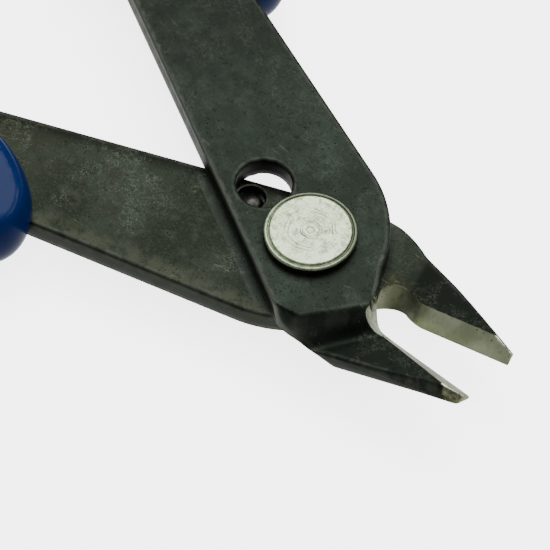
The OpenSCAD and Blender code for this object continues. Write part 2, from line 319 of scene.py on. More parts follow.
def bare_steel(k, xyz, upper):
    """Ground face: its colour, the grinding strokes and the holes left in it."""
    stroke = k.streaks(2.2, 3.0, 0.6, (0.2, 0.3, 0.1), (3.2, 0.22, 0.5))
    bare = k.mix(k.grain(0.35, 3.0, 0.6, 0.35, 0.65), BARE_DARK, BARE_LIGHT)
    bare = k.mix(k.band(stroke, 0.4, 0.75, 0.0, 0.22), bare, BARE_STROKE)
    bare = k.mix(k.grain(1.4, 4.0, 0.65, 0.50, 0.72, 0.0, 0.6), bare, BARE_STAIN)
    holes = k.dots(1.7, 0.17, 0.09, k.grain(0.6, 2.0, 0.55, 0.43, 0.50))
    bare = k.coat(bare, holes, 0.85, BARE_HOLE)
    if upper:
        bare = k.mix(k.grain(2.6, 4.0, 0.7, 0.46, 0.66, 0.0, 0.7), bare, DULL_UPPER)
    else:
        # painted shade: the lower lever's ground face darkens towards the throat
        bare = k.mix(k.band(xyz[0], 12.6, 9.8, 0.0, 0.6), bare, THROAT_SHADE)
    return bare, stroke, holes


def lever_steel(name, upper):
    """Black-oxided steel: mottled, pitted and scratched, lighter on its rims for wear and as painted
    highlight, with painted shade on the jaw and in the lower throat, bare where it is ground.
    """
    k = Nodes(name)
    k.use_plan()
    xyz, mid = k.xyz(), k.noise(0.8, 5.0, 0.65)
    base = oxide(k, upper, mid)
    if not upper:
        base = lower_marks(k, xyz, base, mid)
    # painted shade: the jaw, and its outer facet most, are darkened where they would reflect dark
    # surroundings
    jaw = k.band(xyz[0], 7.5, 9.5)
    base = k.coat(base, jaw, 0.55 if upper else 0.85, JAW_SHADE)
    facet_mask = k.band(k.side(xyz, degrees(RIDGE_DIR) + 90, *RIDGE_PT), 0.0, 0.25)
    base = k.coat(base, facet_mask, k.times(jaw, 0.85), FACET_SHADE)
    if upper:
        base = upper_marks(k, xyz, base)
    marks = scratches(k)
    base = k.coat(base, marks, k.band(xyz[0], 5.0, 9.0, 0.14, 0.6), SCRATCH)
    # pits, a tangle of fine cracks in the coat, and bright specks, most of them on the jaw
    near_rivet = k.times(k.band(k.radius(xyz), 10.0, 6.5), k.grain(0.5, 3.0, 0.55, 0.40, 0.52))
    pits = k.dots(2.6, 0.20, 0.10, k.math("MAXIMUM", near_rivet, k.grain(0.4, 2.0, 0.55, 0.54, 0.62)))
    tangle = k.math("ABSOLUTE", k.math("SUBTRACT", k.noise(1.3, 5.0, 0.62, warp=1.2), 0.5))
    tangle = k.times(k.band(tangle, 0.016, 0.002), k.grain(0.3, 3.0, 0.55, 0.47, 0.60))
    base = k.coat(base, tangle, k.band(xyz[0], 5.0, 9.0, 0.22 if upper else 0.55, 0.75), TANGLE)
    base = k.coat(base, pits, 0.8, PIT)
    specks = k.dots(2.1, 0.085, 0.045, k.grain(0.33, 2.0, 0.55, 0.46, 0.60))
    base = k.coat(base, specks, k.band(xyz[0], 3.0, 9.0, 0.10, 0.9), SPECK)
    # sheared walls: burnished dark above, torn and lighter below; painted shade darkens the window's wall
    # and rolled rim
    torn = k.times(k.band(k.attribute("wall"), 0.35, 0.7), k.band(mid, 0.3, 0.6, 0.4, 1.0))
    base = k.mix(torn, base, TORN_WALL)
    if upper:
        base = k.coat(base, k.band(k.radius(xyz, WINDOW[:2]), 2.75, 2.52), 0.85, WINDOW_SHADE)
    rim = k.attribute("rim")
    # lighter rims: partly wear, partly painted highlight of light caught along the edges
    rim_wear_and_highlight = k.times(k.band(rim, 0.12, 0.6), k.grain(1.1, 3.0, 0.55, 0.38, 0.62, 0.35, 1.0))
    base = k.coat(base, rim_wear_and_highlight, 0.5, WORN_RIM_AND_HIGHLIGHT)
    # painted highlight: a light line along the rim beside the shoulder edge
    bright = k.times(k.band(k.side(xyz, SHOULDER_DEG, *SHOULDER), -1.3, -0.5), k.band(rim, 0.45, 0.85))
    base = k.coat(base, bright, 0.75 if upper else 0.35, SHOULDER_RIM_HIGHLIGHT)
    # bare ground faces with a ragged, browned border
    amount, spread = k.attribute("ground"), 0.12 if upper else 0.28
    ragged = k.math("ADD", amount, k.grain(2.2, 4.0, 0.7, 0.25, 0.75, -spread, spread))
    ground = k.band(ragged, 0.35, 0.65)
    bare, stroke, holes = bare_steel(k, xyz, upper)
    base = k.mix(ground, base, bare)
    border = k.math("SUBTRACT", 1.0, k.math("ABSOLUTE", k.band(amount, 0.0, 1.0, -1.0, 1.0)))
    base = k.coat(base, border, 0.6, GROUND_EDGE)
    rough = k.math("MULTIPLY_ADD", ground, -0.05, k.band(mid, 0.3, 0.7, 0.40, 0.54))
    n = k.bump(k.noise(9.0, 3.0, 0.6), 0.007, 0.5)
    n = k.bump(mid, 0.02, 0.35, n)
    n = k.bump(k.math("SUBTRACT", k.times(marks, -0.4), pits), 0.014, 0.8, n)
    n = k.bump(k.times(k.math("SUBTRACT", stroke, k.times(holes, 2.0)), ground), 0.008, 0.4, n)
    return k.done(Base_Color=base, Roughness=rough, Metallic=1.0, Normal=n)


def rivet_steel():
    """Turned steel head, clouded and pitted; its rim's darker colour grows towards +y as painted shade, and
    its side below the face has a painted dark reflection.
    """
    k = Nodes("rivet_bright")
    xyz = k.xyz()
    r_mm = k.times(k.radius(xyz), 1000.0)
    cloud, mid = k.noise(0.35, 4.0, 0.6), k.noise(1.6, 5.0, 0.7)
    c = k.mix(k.band(cloud, 0.35, 0.65), (0.205, 0.260, 0.160), (0.36, 0.435, 0.290))
    c = k.mix(k.band(mid, 0.46, 0.66, 0.0, 0.9), c, (0.115, 0.135, 0.085))
    c = k.mix(k.grain(6.0, 3.0, 0.7, 0.50, 0.70, 0.0, 0.6), c, (0.60, 0.66, 0.52))
    # turned rings, broken up round the face
    wobble = k.times(k.math("MULTIPLY_ADD", k.noise(0.5, 2.0), 0.9, r_mm), 5.5)
    ring = k.add("TexNoise", noise_dimensions="1D", W=wobble, Scale=1.0, Detail=3.0).outputs["Fac"]
    inner = k.times(k.band(r_mm, 3.2, 1.5), k.grain(0.55, 2.0, 0.55, 0.42, 0.62))
    c = k.coat(c, k.band(ring, 0.52, 0.60), k.times(inner, 0.9), (0.045, 0.052, 0.034))
    pits = k.dots(2.6, 0.13, 0.06, k.grain(0.8, 2.0, 0.55, 0.5, 0.58))
    c = k.coat(c, pits, 0.8, (0.10, 0.10, 0.08))
    # painted shade: the rim's darker colour, a third of it everywhere, grows towards +y
    rim_dull_and_shade = k.band(xyz[1], -2.2 * MM, 1.6 * MM, 0.30, 0.90)
    c = k.coat(c, k.band(r_mm, 3.64, 3.72), rim_dull_and_shade, (0.060, 0.070, 0.048))
    # painted dark reflection: the head's side below its face is darkened, standing in for the plate it
    # reflects
    below = k.band(xyz[2], 6.32 * MM, 6.0 * MM)
    c = k.coat(c, below, k.band(mid, 0.25, 0.6, 0.6, 0.95), (0.035, 0.028, 0.018))
    n = k.bump(k.streaks(3.5, 3.0, 0.6, (0, 0, 0.9), (0.12, 3.0, 1.0)), 0.003, 0.5)
    n = k.bump(k.times(ring, inner), 0.01, 0.6, n)
    n = k.bump(k.math("SUBTRACT", mid, pits), 0.008, 0.5, n)
    return k.done(Base_Color=c, Metallic=1.0, Roughness=k.band(cloud, 0.3, 0.7, 0.30, 0.42), Normal=n)


def spring_steel():
    k = Nodes("spring_wire")
    mid = k.noise(1.5, 4.0, 0.6)
    c = k.mix(k.band(mid, 0.35, 0.7), (0.030, 0.031, 0.030), (0.075, 0.070, 0.060))
    n = k.bump(k.noise(8.0, 3.0), 0.006, 0.5)
    return k.done(Base_Color=c, Metallic=0.9, Roughness=k.band(mid, 0.3, 0.7, 0.30, 0.45), Normal=n)


def grip_plastic():
    """Glossy dip-coated vinyl with a little orange peel, sunk dots and dust."""
    k = Nodes("grip_vinyl")
    broad, peel = k.noise(0.06, 3.0), k.noise(0.5, 3.0, 0.5)
    c = k.mix(k.band(broad, 0.3, 0.7), (0.0001, 0.0110, 0.068), (0.0003, 0.0150, 0.090))
    dust = k.dots(0.75, 0.05, 0.025, k.grain(0.4, 2.0, 0.55, 0.46, 0.56))
    c = k.coat(c, dust, 0.7, (0.35, 0.45, 0.62))
    smear = k.grain(0.22, 5.0, 0.65, 0.5, 0.75, warp=0.5)
    c = k.coat(c, smear, 0.05, (0.01, 0.04, 0.14))
    n = k.bump(broad, 0.35, 0.35)
    n = k.bump(peel, 0.03, 0.35, n)
    n = k.bump(dust, 0.02, 0.6, n)
    return k.done(Base_Color=c, Roughness=k.band(smear, 0.0, 1.0, 0.20, 0.28), Normal=n,
                  Specular_IOR_Level=0.09)


# ---------------- levers


def smin(a, b, k):
    """The smaller of two, eased over k where they cross."""
    h = np.maximum(k - np.abs(a - b), 0) / k
    return np.minimum(a, b) - h * h * k / 4


def smax(a, b, k):
    return -smin(-a, -b, k)


def along(x, y, deg):
    c, s = heading(deg)
    return x * c + y * s


def unit(v):
    return v / np.linalg.norm(v)


def sides(pts):
    """The sides of a closed outline, each as its two ends."""
    return zip(map(np.array, pts), map(np.array, pts[1:] + pts[:1]))


def flush(x):
    return smax((x - FLUSH_X) * SLOPE, np.zeros_like(x), 0.1)


def jaw_top(x):
    return JAW_T + (x - FLUSH_X) * SLOPE


def facet(x, y):
    """Height of the jaw's outer facet."""
    p = atan(SLOPE * cos(RIDGE_DIR))
    up, out = sin(FACET_LEAN), cos(FACET_LEAN)
    n = Matrix.Rotation(RIDGE_DIR, 3, "Z") @ Vector((-up * sin(p), out, up * cos(p)))
    return jaw_top(RIDGE_PT[0]) - (n.x * (x - RIDGE_PT[0]) + n.y * (y - RIDGE_PT[1])) / n.z


def bevel(x, y, upper):
    """Height of the ground face along the cutting edge; the upper lever's is steeper near the throat."""
    steep = 1 + BEVEL_EXTRA * np.clip(1 - (x - BEVEL_X) / BEVEL_RUN, 0, 1) if upper else 1.0
    return (x - FLUSH_X) * SLOPE + BEVEL_RISE * steep * y / SLANT


def lower_grind(x, y):
    """Height of the lower throat's grinding."""
    xl = (x - GRIND_X) / SLANT * GRIND_TURN
    q = np.sqrt(np.maximum(1 - (xl / GRIND_HALF) ** 2, 0))
    z = (y - GRIND_Y - GRIND_SAG * q) / GRIND_LEAN
    return np.where(np.abs(xl) < GRIND_HALF, (x - FLUSH_X) * SLOPE + z / GRIND_RISE, FAR)


def upper_grind(x, y):
    """The upper throat's grinding, which leans outwards as it runs up the band."""
    cx, cy, r = UP_GRIND
    dx = np.abs(x - cx)
    q = np.sqrt(np.maximum(r * r - dx * dx, 0)) / cos(UP_LEAN)
    return (y - cy - q) / tan(UP_LEAN) + 7.0 * np.maximum(dx - r, 0)


def fold(x, y, z, steep, deg, start):
    """Height of a plane that falls from z beyond a line across the plan."""
    return z - tan(radians(steep)) * (along(x, y, deg) - start)


def top_of(x, y, upper):
    """Height of a lever's upper surface, and how far each point is ground bright."""
    if upper:
        a, b = (fold(x, y, UP1, *f) for f in UP_FOLDS)
        plate = smin(np.full_like(x, UP1), smax(a, b, 2.4), 0.6)
        z = smax(jaw_top(x), plate, 0.8)
    else:
        z = smax(jaw_top(x), smin(np.full_like(x, T), fold(x, y, T, *LOW_FOLD), 0.12), 0.12)
    zf = smin(z, facet(x, y), 0.1)
    g = np.where(x > BEVEL_X, bevel(x, y, upper), FAR)
    if upper:
        g = smin(g + 3.0 * np.clip((FADE_X - x) / FADE_W, 0, 1), upper_grind(x, y), 0.3)
    else:
        g = smin(g, lower_grind(x, y), 0.9)
    ground = np.clip((zf - g) / 0.06 + 0.5, 0, 1)
    if upper:
        # the polish has a slanting, wavy border
        tip = along(x, y, TIP_DEG) - TIP_AT
        polish = np.clip((tip + POLISH_L - 0.5 * y + 0.15 * np.sin(y * 9)) / 0.5, 0, 1)
        ground = np.maximum(ground, POLISH * polish)
    return smin(zf, g, 0.05), ground


def bottom_of(x, y, upper):
    """Height of a lever's underside."""
    f = flush(x)
    if not upper:
        return f
    # the upper lever steps down round the lower one's head, with a slanting heel under its shoulder
    s = along(x, y, CREASE_DEG)
    step = np.clip(np.minimum((s - STEP_AT) / STEP_W, (np.hypot(x, y) - STEP_R) / STEP_W), 0, 1)
    z = UP0 + (f - UP0) * step * step * (3 - 2 * step)
    m = Matrix.Identity(3)
    for deg, axis in HEEL_TURNS:
        m = m @ Matrix.Rotation(radians(deg), 3, axis)
    n = m @ Vector((0, 0, 1))
    heel = T - (n.x * (x - HEEL_PT[0]) + n.y * (y - HEEL_PT[1])) / n.z
    return np.where(s > HEEL_AT, smax(z, np.minimum(heel, HEEL_TOP), 0.15), z)


def clip_poly(pts, n, c):
    """Keeps the part of a polygon where n . p <= c."""
    out = []
    for a, b in sides(pts):
        da, db = a @ n - c, b @ n - c
        if da <= 0:
            out.append(tuple(a))
        if (da < 0 < db) or (db < 0 < da):
            out.append(tuple(a + (b - a) * da / (da - db)))
    return out


def arc_corner(a, b, c, r, step):
    """Points of the arc with radius r that rounds the corner b between a and c."""
    a, b, c = (np.array(p, float) for p in (a, b, c))
    u, v = unit(a - b), unit(c - b)
    half = acos(float(u @ v)) / 2
    mid = b + unit(u + v) * r / sin(half)
    p0, p1 = b + u * r / tan(half), b + v * r / tan(half)
    a0, a1 = (atan2(*(p - mid)[::-1]) for p in (p0, p1))
    d = (a1 - a0 + pi) % (2 * pi) - pi
    n = max(3, int(abs(d) * r / step))
    turns = [a0 + d * k / n for k in range(n + 1)]
    return [tuple(mid + r * np.array((cos(a), sin(a)))) for a in turns]


def curve(p0, p1, p2, steps):
    """Points of the curve from p0 to p2 that heads for p1."""
    return [tuple((1 - t) ** 2 * p0 + 2 * t * (1 - t) * p1 + t * t * p2) for t in steps]


def throat_arc(start, upper):
    """The throat's circle from where the head's edge meets it, eased into the cutting edge."""
    cx, cy, r = UP_THROAT if upper else LOW_THROAT
    a0 = atan2(start[1] - cy, start[0] - cx)
    a1 = asin(-cy / r)
    if a0 < 0:
        a0 += 2 * pi
    n = int((a0 - a1) * r / 0.15)
    turns = [a0 + (a1 - a0) * k / n for k in range(n + 1)]
    arc = [(cx + r * cos(a), cy + r * sin(a)) for a in turns]
    corner = np.array(arc[-1])
    run = 1.3 if upper else 1.15
    arc = [p for p in arc if np.hypot(*(np.array(p) - corner)) > run]
    p0, p2 = np.array(arc[-1]), corner + (run, 0)
    return arc + curve(p0, corner * 0.8 + (p0 + p2) * 0.1, p2, np.linspace(0.1, 1, 10))


def outline(upper):
    """The lever's plan, from the handle's bow round the head, the throat, the jaw and the shoulder."""
    cx, cy, r = UP_THROAT if upper else LOW_THROAT
    head = arc_corner(BOW[0], HEAD, JAW_ROOT, 12, 0.3)
    a, b = np.array(head[-1]), np.array(JAW_ROOT)
    # the throat starts where the head's edge meets its circle, or else at the jaw's root
    edge = (a + (b - a) * t for t in np.linspace(0, 1, 2001))
    start = next((p for p in edge if np.hypot(*(p - (cx, cy))) <= r), b)
    far_pt = (REACH + 2, 0.5)
    shoulder = arc_corner(far_pt, SHOULDER, HANDLE, 2.6 if upper else 8.6, 0.2)
    pts = [BOW[0]] + head + throat_arc(start, upper) + [(REACH + 2, 0.0), far_pt]
    pts += shoulder + [HANDLE] + BOW[:0:-1]
    pts = clip_poly(pts, np.array(heading(TIP_DEG)), TIP_AT)
    # where the outer facet meets the flush face
    g = [float(facet(np.array(x), np.array(y))) - (x - FLUSH_X) * SLOPE for x, y in ((0, 0), (1, 0), (0, 1))]
    pts = clip_poly(pts, np.array((g[0] - g[1], g[0] - g[2])), g[0] - 0.02)
    return round_tip(pts, 0.9 if upper else 0.45, 1.0 if upper else 0.35)


def round_tip(pts, r, cutting_side):
    """Rounds the outline's two corners at the jaw's tip, the one on the cutting edge by a share of it."""
    out = []
    for (a, b), (_, c) in zip(sides(pts[-1:] + pts[:-1]), sides(pts)):
        u, v = b - a, c - b
        corner = abs(atan2(u[0] * v[1] - u[1] * v[0], float(u @ v)))
        if b[0] > 19 and corner > 0.3:
            k = min(r * tan(corner / 2), 0.45 * np.linalg.norm(u), 0.45 * np.linalg.norm(v))
            if b[1] < 0.2:
                k *= cutting_side
            out += curve(b - unit(u) * k, b, b + unit(v) * k, np.linspace(0, 1, 8))
        else:
            out.append(tuple(b))
    return out


def resample(pts, fine, coarse, split=-13.0):
    """Evenly spaced points along a closed outline, coarser behind the split."""
    out = []
    for a, b in sides(pts):
        length = np.linalg.norm(b - a)
        if length < 1e-4:
            continue
        step = fine if max(a[0], b[0]) > split else coarse
        n = max(1, int(round(length / step)))
        out += [tuple(a + (b - a) * k / n) for k in range(n)]
    return out


def offset_loop(loop, d):
    """Moves a closed loop to its left by d, mitred."""
    p = np.array(loop)
    e = np.roll(p, -1, 0) - p
    e /= np.linalg.norm(e, axis=1)[:, None]
    n1 = np.stack([-e[:, 1], e[:, 0]], 1)
    m = np.roll(n1, 1, 0) + n1
    m /= np.maximum((m * m).sum(1)[:, None] / 2, 0.35)
    return p + m * d


def dist_to_loops(q, loops):
    """Distance of each point from the nearest loop."""
    best, chunk = np.full(len(q), 1e9), 4000
    for loop in loops:
        p = np.array(loop)
        e = np.roll(p, -1, 0) - p
        length2 = (e * e).sum(1)
        for i in range(0, len(q), chunk):
            w = q[i:i + chunk, None, :] - p[None]
            t = np.clip((w * e).sum(2) / length2, 0, 1)
            dd = w - t[..., None] * e
            best[i:i + chunk] = np.minimum(best[i:i + chunk], np.sqrt((dd * dd).sum(2).min(1)))
    return best


def dist_to_points(q, others, chunk=2000):
    return np.concatenate([np.sqrt(((q[i:i + chunk, None] - others[None]) ** 2).sum(2).min(1))
                           for i in range(0, len(q), chunk)])


def inside(q, loop):
    p = np.array(loop)
    p2 = np.roll(p, -1, 0)
    x, y = q[:, 0][:, None], q[:, 1][:, None]
    cross = (p[:, 1] > y) != (p2[:, 1] > y)
    with np.errstate(divide="ignore", invalid="ignore"):
        xi = (p2[:, 0] - p[:, 0]) * (y - p[:, 1]) / (p2[:, 1] - p[:, 1]) + p[:, 0]
    return (cross & (x < xi)).sum(1) % 2 == 1


def grid(x0, x1, y0, y1, step):
    gx, gy = np.meshgrid(np.arange(x0, x1, step), np.arange(y0, y1, step))
    return np.stack([gx.ravel(), gy.ravel()], 1)


def ground_edges(upper):
    """Where the ground faces meet the surface above: round the throat, then along the jaw."""
    cx, cy = (10.45, -0.3) if upper else (9.6, -0.6)
    a = np.radians(np.linspace(178, 40, 110))
    x = np.arange(12.2, 19.9, 0.15)
    zero = 0 * x
    # rays as start, direction, and the nearest and farthest place to look
    round_throat = (cx + 0 * a, cy + 0 * a, np.cos(a), np.sin(a), 0.3, 3.6)
    along_jaw = (x, zero, zero, zero + 1, 0.02, 3.2)
    paths = []
    for ox, oy, ux, uy, nearest, farthest in (round_throat, along_jaw):
        lo, hi = np.full_like(ox, nearest), np.full_like(ox, farthest)
        for _ in range(24):
            m = (lo + hi) / 2
            on_it = top_of(ox + ux * m, oy + uy * m, upper)[1] > 0.5
            lo, hi = np.where(on_it, m, lo), np.where(on_it, hi, m)
        paths.append(np.stack([ox + ux * lo, oy + uy * lo], 1))
    return paths


def parallels(a, b, offsets, step=0.22):
    """Points along the line from a to b, and along its parallels."""
    a, b = np.array(a, float), np.array(b, float)
    length = np.linalg.norm(b - a)
    t = (b - a) / length
    normal, k = np.array((-t[1], t[0])), max(2, int(length / step))
    return [np.array([a + t * length * i / k + normal * o for i in range(k + 1)]) for o in offsets]


def crease_points(upper):
    """Points along every crease, with parallels that carry its fillet, and close ones round the throat."""
    rd, rp = np.array(heading(degrees(RIDGE_DIR))), np.array(RIDGE_PT)
    lines = parallels(rp - rd * 6.5, rp + rd * 9.9, (-0.12, -0.06, -0.02, 0.02, 0.06, 0.12))
    lines += parallels((BEVEL_X + 0.03, 0.2), (BEVEL_X + 0.03, 4.0), (-0.06, 0.0, 0.06))
    for path in ground_edges(upper):
        t = np.gradient(path, axis=0)
        t /= np.linalg.norm(t, axis=1)[:, None]
        lines += [path + np.stack([-t[:, 1], t[:, 0]], 1) * o for o in (-0.05, 0.0, 0.05)]
    if not upper:
        a = np.linspace(0.05, 0.95, 24) * pi
        for z in np.linspace(0.0, 2.3, 9):
            y = GRIND_Y + z * GRIND_LEAN + GRIND_SAG * np.sin(a)
            lines.append(np.stack([GRIND_X + GRIND_HALF * np.cos(a), y], 1))
    lines = np.concatenate(lines)
    cx, cy, r = UP_THROAT if upper else LOW_THROAT
    dense = grid(cx - r - 2, cx + r + 2, cy, cy + r + 2, 0.11)
    away = np.hypot(dense[:, 0] - cx, dense[:, 1] - cy)
    dense = dense[(away > r + 0.3) & (away < r + 2.2) & (dense[:, 0] > 6.5)]
    return np.concatenate([lines, dense[dist_to_points(dense, lines) > 0.06]])


def free_points(rims, upper):
    """Every point of the plan that isn't on a rim: creases, then grids that thin out towards the grip."""
    creases = crease_points(upper)
    grids = np.concatenate([grid(4.0, 21.6, -3, 8.2, 0.2), grid(-14, 4.0, -11, 9, 0.8),
                            grid(-100, -14, -22, 6, 2.5)])
    grids += np.random.default_rng(5 + upper).uniform(-0.02, 0.02, grids.shape)
    free = np.concatenate([creases, grids[dist_to_points(grids, creases) > 0.09]])
    ok = inside(free, rims[0][0]) & (dist_to_loops(free, [lp for lp, _ in rims]) > RIM_W * LAST_RING + 0.05)
    for lp, rim in rims[1:]:
        c = np.mean(np.array(lp), 0)
        r = np.linalg.norm(np.array(lp)[0] - c)
        ok &= np.hypot(*(free - c).T) > r + rim * 1.6 + 0.05
    return free[ok]


def hole_loop(cx, cy, r, n=72):
    turns = [-2 * pi * k / n for k in range(n)]
    return [(cx + r * cos(a), cy + r * sin(a)) for a in turns]


def surfaces(x, y, upper, off, rim):
    """Both surfaces with their rims rounded, and the ground share, for points that lie off from a rim."""
    top, ground = top_of(x, y, upper)
    bot = bottom_of(x, y, upper)
    thick = np.maximum(top - bot, 0.0)
    f = np.clip(1 - off / rim, 0, 1)
    drop = 1 - np.sqrt(np.maximum(1 - f * f, 0))
    top = top - (np.minimum(0.6 * rim, thick * 0.3) + 1e-6) * drop
    bot = bot + (np.minimum(0.25 * rim, thick * 0.2) + 1e-6) * drop
    return np.maximum(top, bot + 0.004), bot, ground


def add_walls(verts, n, loops, rows=3):
    """Joins the two surfaces round every loop; also says which row each new point is in."""
    faces, row_of = [], []
    for ids in loops:
        below = [i + n for i in ids]
        ring = [ids]
        for k in range(1, rows):
            t = k / rows
            ring.append(list(range(len(verts), len(verts) + len(ids))))
            z = verts[ids, 2] * (1 - t) + verts[below, 2] * t
            verts = np.concatenate([verts, np.column_stack([verts[ids, :2], z])])
            row_of += [k] * len(ids)
        ring.append(below)
        m = len(ids)
        for u, v in zip(ring[:-1], ring[1:]):
            faces += [(u[(k + 1) % m], u[k], v[k], v[(k + 1) % m]) for k in range(m)]
    return verts, faces, np.array(row_of)


def wear(verts, off, rim, ground, row_of, upper):
    """Vertex values that drive the steel: ground faces, rims lightened for wear and as painted highlight,
    and torn walls.
    """
    n, x, y = len(off), verts[:, 0], verts[:, 1]
    rim_wear_and_highlight = np.clip(1 - off / (rim * 1.3), 0, 1)
    rim_wear_and_highlight = np.concatenate([rim_wear_and_highlight, rim_wear_and_highlight, np.full(len(row_of), 0.3)])
    # painted highlight: a thin bright line along the outer ridge
    ridge = np.abs((x - RIDGE_PT[0]) * -sin(RIDGE_DIR) + (y - RIDGE_PT[1]) * cos(RIDGE_DIR))
    on_top = (np.arange(len(verts)) < n) & (x > 8.5)
    rim_wear_and_highlight = np.maximum(rim_wear_and_highlight, np.where(on_top, np.clip(1 - ridge / 0.13, 0, 1), 0))
    # the throat's wall, the cutting edge and the tip are ground too
    cx, cy, r = UP_THROAT if upper else LOW_THROAT
    bare = (np.hypot(x - cx, y - cy) < r + 0.25) & (x > (8.45 if upper else 7.2))
    bare |= ((y < 0.03) & (x > 10.6)) | (along(x, y, TIP_DEG) > TIP_AT - 0.04)
    ground = np.maximum(np.concatenate([ground, np.zeros(len(verts) - n)]), bare * 1.0)
    torn = np.concatenate([np.zeros(2 * n), np.where(row_of == 1, 0.25, 1.0)])
    return {"ground": ground, "rim": rim_wear_and_highlight, "wall": torn}


def to_row(points, faces, upper):
    """Turns a closed half to its place at rest, mirrored for the upper one, in metres."""
    x, y, z = points.T
    if upper:
        y, faces = -y, [f[::-1] for f in faces]
    c, s = cos(OPEN), sin(-OPEN if upper else OPEN)
    return np.stack([x * c - y * s, x * s + y * c, z], 1) * MM, faces


def triangulate(points, loops, mode):
    """Triangles between plan points with the loops as edges, and where each given point went."""
    edges = [(ids[k - 1], ids[k]) for ids in loops for k in range(len(ids))]
    plan, _, tris, source, _, _ = delaunay_2d_cdt([Vector(p) for p in points], edges, [], mode, 1e-5)
    where = {i: k for k, first in enumerate(source) for i in first}
    return np.array([tuple(v) for v in plan]), np.array(tris), where, [first[0] for first in source]


def lever(name, upper, holes):
    """One stamped lever as a mesh of its own: rounded rims, filleted bends, ground jaw."""
    loop = resample(outline(upper), 0.25, 1.5)
    if sum(a[0] * b[1] - a[1] * b[0] for a, b in zip(loop, loop[1:] + loop[:1])) < 0:
        loop = loop[::-1]
    rims = [(loop, RIM_W)] + [(hole_loop(cx, cy, r), rim) for cx, cy, r, rim in holes]
    # rings of points that carry each rim's rounding
    pts, off, rim_of, loops = [], [], [], []
    for lp, rim in rims:
        n = len(lp)
        loops.append(range(len(pts), len(pts) + n))
        for d in [rim * (1 - cos(pi / 2 * k / 5)) for k in range(6)] + [rim * LAST_RING]:
            pts += [tuple(p) for p in (offset_loop(lp, d) if d else lp)]
            off += [d] * n
            rim_of += [rim] * n
    free = free_points(rims, upper)
    # triangles inside the outline and outside the holes
    plan, tris, where, source = triangulate(np.concatenate([np.array(pts), free]), loops, 1)
    for lp, _ in rims[1:]:
        tris = tris[~inside(plan[tris].mean(1), lp)]
    off = np.array(off + [OFF_RIM] * len(free))[source]
    rim_of = np.array(rim_of + [RIM_W] * len(free))[source]
    x, y = plan.T
    top, bot, ground = surfaces(x, y, upper, off, rim_of)
    n = len(plan)
    verts = np.concatenate([np.stack([x, y, top], 1), np.stack([x, y, bot], 1)])
    verts, walls, row_of = add_walls(verts, n, [[where[i] for i in ids] for ids in loops])
    faces = tris.tolist() + (tris[:, ::-1] + n).tolist() + walls
    points, faces = to_row(verts + (0, 0, BASE), faces, upper)
    o = new_object(name, points, faces)
    for key, value in wear(verts, off, rim_of, ground, row_of, upper).items():
        o.data.attributes.new(key, "FLOAT", "POINT").data.foreach_set("value", value.astype(np.float32))
    # the stamped plan, so that every lever's marks stay with it
    plan = o.data.attributes.new("plan", "FLOAT_VECTOR", "POINT")
    plan.data.foreach_set("vector", verts.astype(np.float32).ravel())
    return o


# ---------------- rivet and wire


def new_object(name, verts, faces):
    me = bpy.data.meshes.new(name)
    me.from_pydata([tuple(v) for v in verts], [], faces)
    me.validate()
    for p in me.polygons:
        p.use_smooth = True
    o = bpy.data.objects.new(name, me)
    scene.collection.objects.link(o)
    return o


def lathe(name, profile, turns=160):
    """Closed turned body from (radius, height) pairs in millimetres that start and end on the axis."""
    verts, faces, rings = [], [], []
    for r, z in profile:
        if r < 1e-6:
            rings.append([len(verts)])
            verts.append((0, 0, z * MM))
            continue
        rings.append(list(range(len(verts), len(verts) + turns)))
        for k in range(turns):
            a = 2 * pi * k / turns
            verts.append((r * cos(a) * MM, r * sin(a) * MM, z * MM))
    for lo, hi in zip(rings[:-1], rings[1:]):
        for k in range(turns):
            j = (k + 1) % turns
            if len(lo) == 1:
                faces.append((lo[0], hi[j], hi[k]))
            elif len(hi) == 1:
                faces.append((lo[k], lo[j], hi[0]))
            else:
                faces.append((lo[k], lo[j], hi[j], hi[k]))
    return new_object(name, verts, faces)


def rivet_profile():
    """Rolled lower head, shank, and an upper head with a rim, a groove and a shallow turned dimple."""
    top, face = UP1 + BASE + 0.03, UP1 + BASE + 1.03
    pts = [(0, 0.0), (2.4, 0.0), (3.1, 0.02), (3.5, 0.1), (3.85, 0.27), (4.07, 0.5), (4.18, 0.78)]
    pts += [(4.2, BASE), (2.6, BASE), (2.5, BASE + 0.06), (2.5, top)]
    pts += [(4.12, top), (4.18, top + 0.05), (4.2, top + 0.16), (4.2, top + 0.3), (4.2, top + 0.45)]
    # edge that rolls over, a fine groove, then the turned face
    for k in range(19):
        a = radians(150) * k / 18
        pts.append((3.98 + 0.22 * cos(a), face - 0.34 + 0.22 * sin(a)))
    pts += [(3.75, face - 0.22), (3.70, face - 0.18), (3.67, face - 0.10), (3.65, face - 0.04),
            (3.61, face - 0.012), (3.56, face - 0.002), (3.5, face)]
    dents = ((0.05, 0.0, 0.42), (0.018, 0.95, 0.1), (0.012, 0.72, 0.06), (0.008, 1.45, 0.08))
    for r in np.linspace(3.45, 0.02, 120):
        z = face + 0.0025 * sin(r * 21 + 0.7 * sin(r * 5))
        for deep, at, wide in dents:
            z -= deep * exp(-(((r - at) / wide) ** 2))
        z -= 0.012 * max(0.0, 1 - r / 1.3)
        pts.append((float(r), z))
    return pts + [(0, pts[-1][1])]


